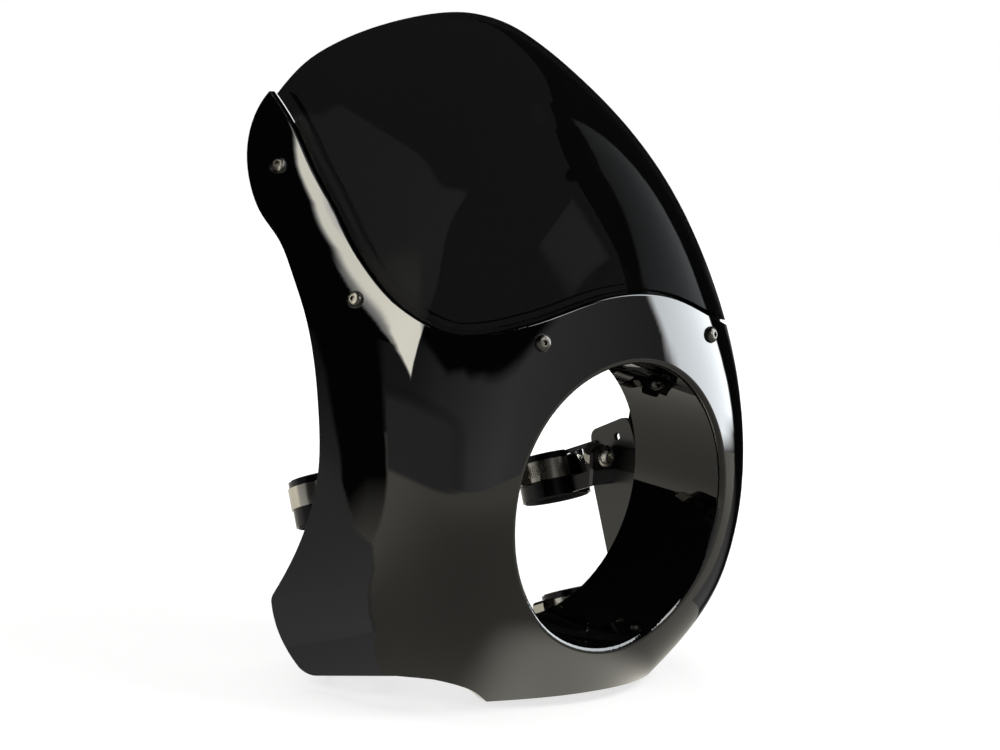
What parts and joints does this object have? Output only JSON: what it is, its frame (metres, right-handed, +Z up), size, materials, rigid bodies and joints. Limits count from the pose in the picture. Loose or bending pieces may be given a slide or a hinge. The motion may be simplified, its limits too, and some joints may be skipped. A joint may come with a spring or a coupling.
{
  "type": "headlight cowl",
  "caption": "Glossy cowl with a round headlight collar, a smoked bubble windscreen set in its top, and raked brackets with straps and band clamps for two fork tubes.",
  "frame": {"origin": "centre of the headlight hole, in the plane of its rim", "axes": "X to the side, -Y to the front of the bike, Z up with the cowl as it is carried on the fork"},
  "size_m": [0.2892, 0.2064, 0.3959],
  "materials": {
    "gloss_black": "gloss",
    "smoked_screen": "gloss",
    "button_head_steel": "satin",
    "black_nylon": "matt",
    "plated_nut": "satin",
    "bracket_grey": "satin",
    "lug_black": "satin",
    "bright_steel": "bright",
    "sleeve_rubber": "matt",
    "strap_steel": "dark bright",
    "clamp_steel": "bright"
  },
  "bodies": {
    "root": {"clamp_screw_lower_left": "bright_steel", "clamp_screw_lower_right": "bright_steel", "clamp_screw_upper_left": "bright_steel", "clamp_screw_upper_right": "bright_steel", "cowl_shell": "gloss_black", "fork_bracket_left": "bracket_grey", "fork_bracket_right": "bracket_grey", "fork_sleeve_lower_left": "sleeve_rubber", "fork_sleeve_lower_right": "sleeve_rubber", "fork_sleeve_upper_left": "sleeve_rubber", "fork_sleeve_upper_right": "sleeve_rubber", "fork_strap_lower_left": "strap_steel", "fork_strap_lower_right": "strap_steel", "fork_strap_upper_left": "strap_steel", "fork_strap_upper_right": "strap_steel", "hose_clamp_lower_left": "clamp_steel", "hose_clamp_lower_right": "clamp_steel", "hose_clamp_upper_left": "clamp_steel", "hose_clamp_upper_right": "clamp_steel", "lug_nut_left": "plated_nut", "lug_nut_right": "plated_nut", "lug_screw_left": "bright_steel", "lug_screw_right": "bright_steel", "mount_lug_left": "lug_black", "mount_lug_right": "lug_black", "screen_nut_1": "plated_nut", "screen_nut_2": "plated_nut", "screen_nut_3": "plated_nut", "screen_nut_4": "plated_nut", "screen_nut_5": "plated_nut", "screen_nut_6": "plated_nut", "screen_screw_1": "button_head_steel", "screen_screw_2": "button_head_steel", "screen_screw_3": "button_head_steel", "screen_screw_4": "button_head_steel", "screen_screw_5": "button_head_steel", "screen_screw_6": "button_head_steel", "screen_washer_1": "black_nylon", "screen_washer_2": "black_nylon", "screen_washer_3": "black_nylon", "screen_washer_4": "black_nylon", "screen_washer_5": "black_nylon", "screen_washer_6": "black_nylon", "windscreen": "smoked_screen"}
  },
  "joints": []
}
